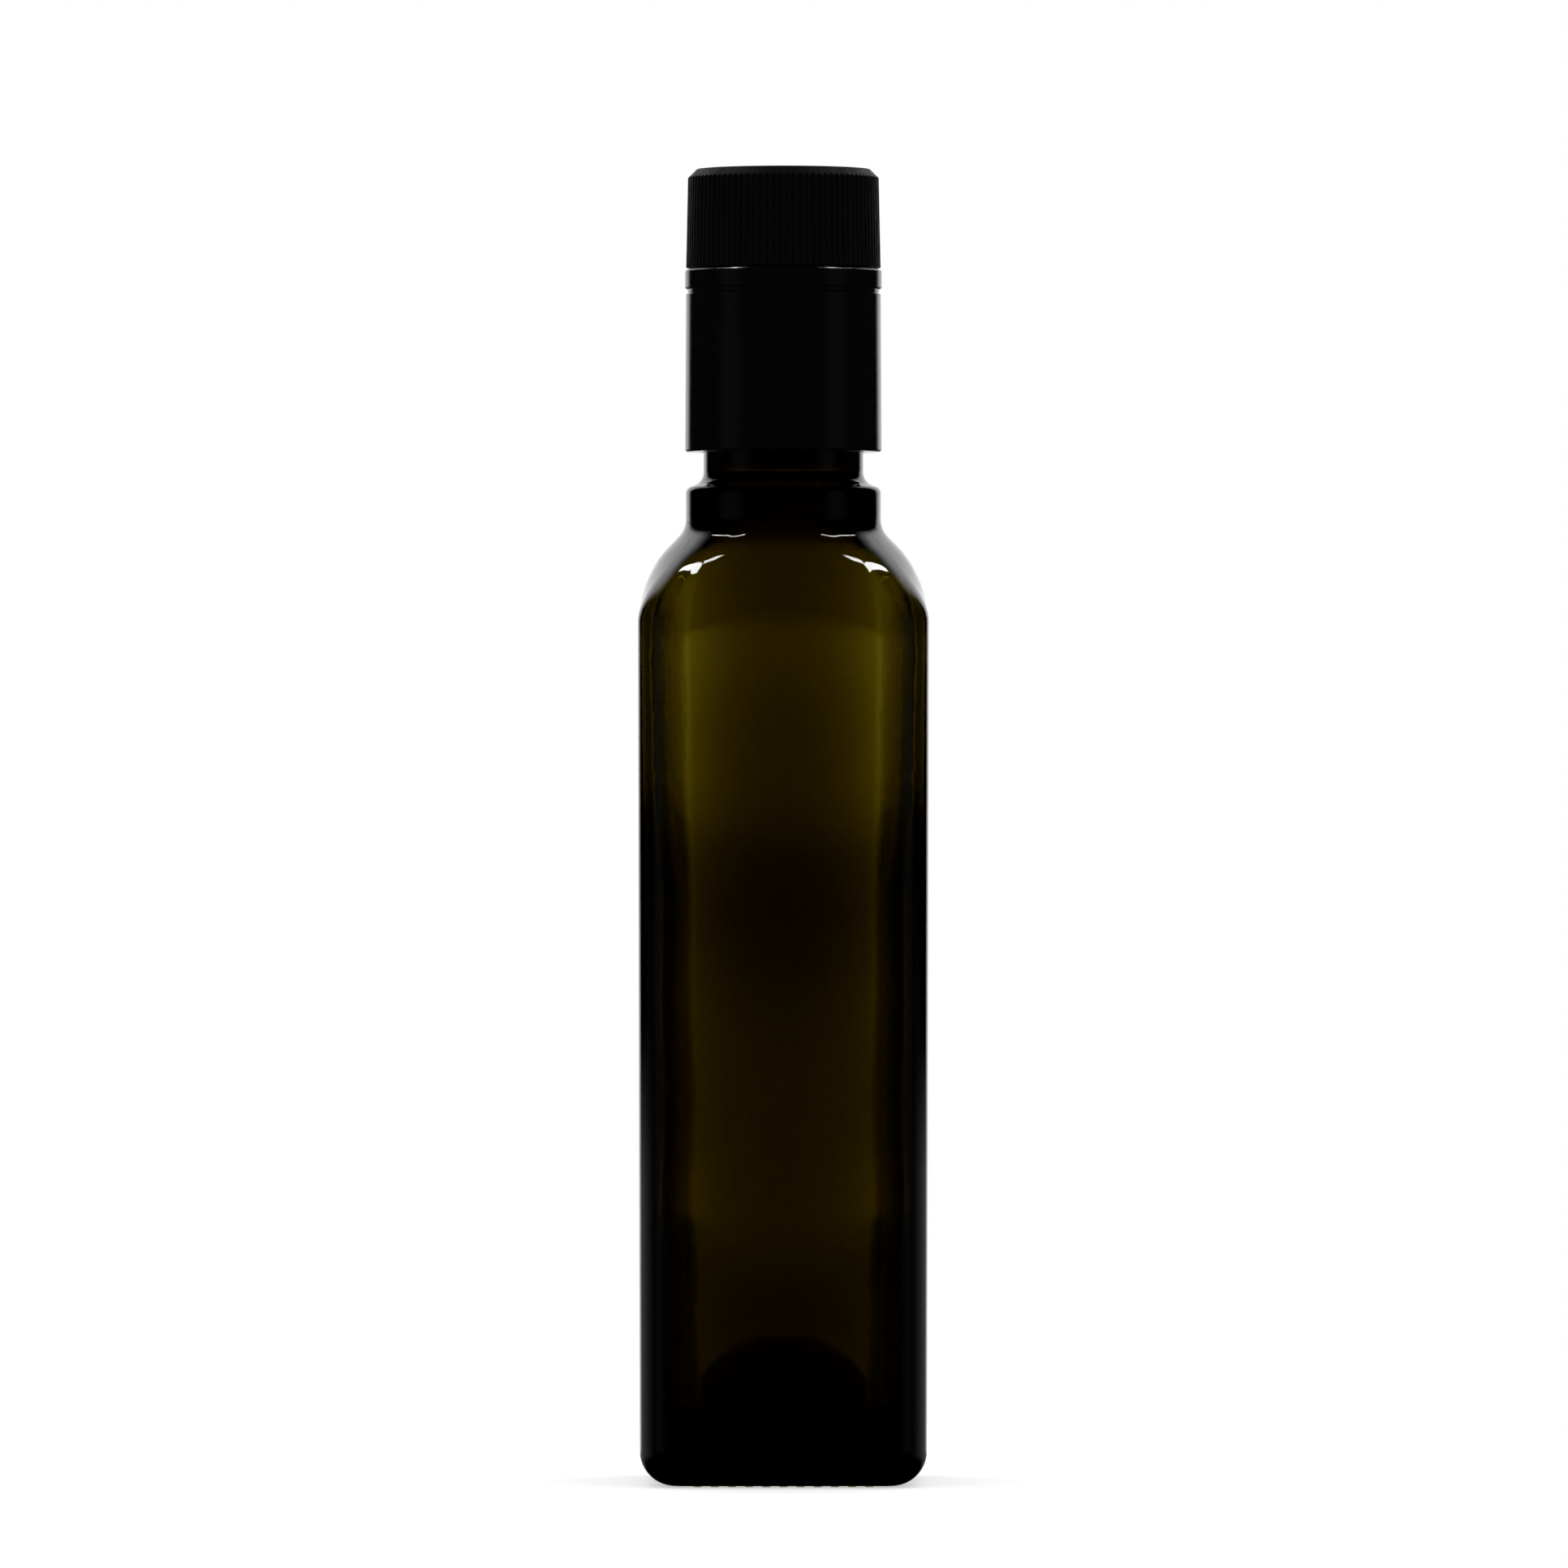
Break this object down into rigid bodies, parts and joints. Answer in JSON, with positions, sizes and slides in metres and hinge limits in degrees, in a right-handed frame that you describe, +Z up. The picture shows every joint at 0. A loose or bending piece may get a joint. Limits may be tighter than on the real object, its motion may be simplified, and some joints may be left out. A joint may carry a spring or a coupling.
{
  "type": "square glass bottle",
  "caption": "Tall square dark green glass oil bottle, empty, with a pillow shoulder, thick collar and black ribbed screw cap over a smooth tamper sleeve.",
  "frame": {"origin": "middle of the base, at the level the bottle stands on, under the axis of the neck", "axes": "+Z up along the axis of the neck, -Y out of the front face, +X to the right of the front face"},
  "size_m": [0.0466, 0.0466, 0.2118],
  "materials": {
    "green_glass": "clear dark olive green glass, glossy",
    "sleeve_plastic": "black, smooth and glossy",
    "cap_plastic": "black, fine satin",
    "insert_plastic": "black, plain"
  },
  "bodies": {
    "root": {"bottle": "green_glass", "pour_insert": "insert_plastic", "sleeve": "sleeve_plastic", "tamper_band": "sleeve_plastic", "screw_cap": "cap_plastic"}
  },
  "joints": []
}
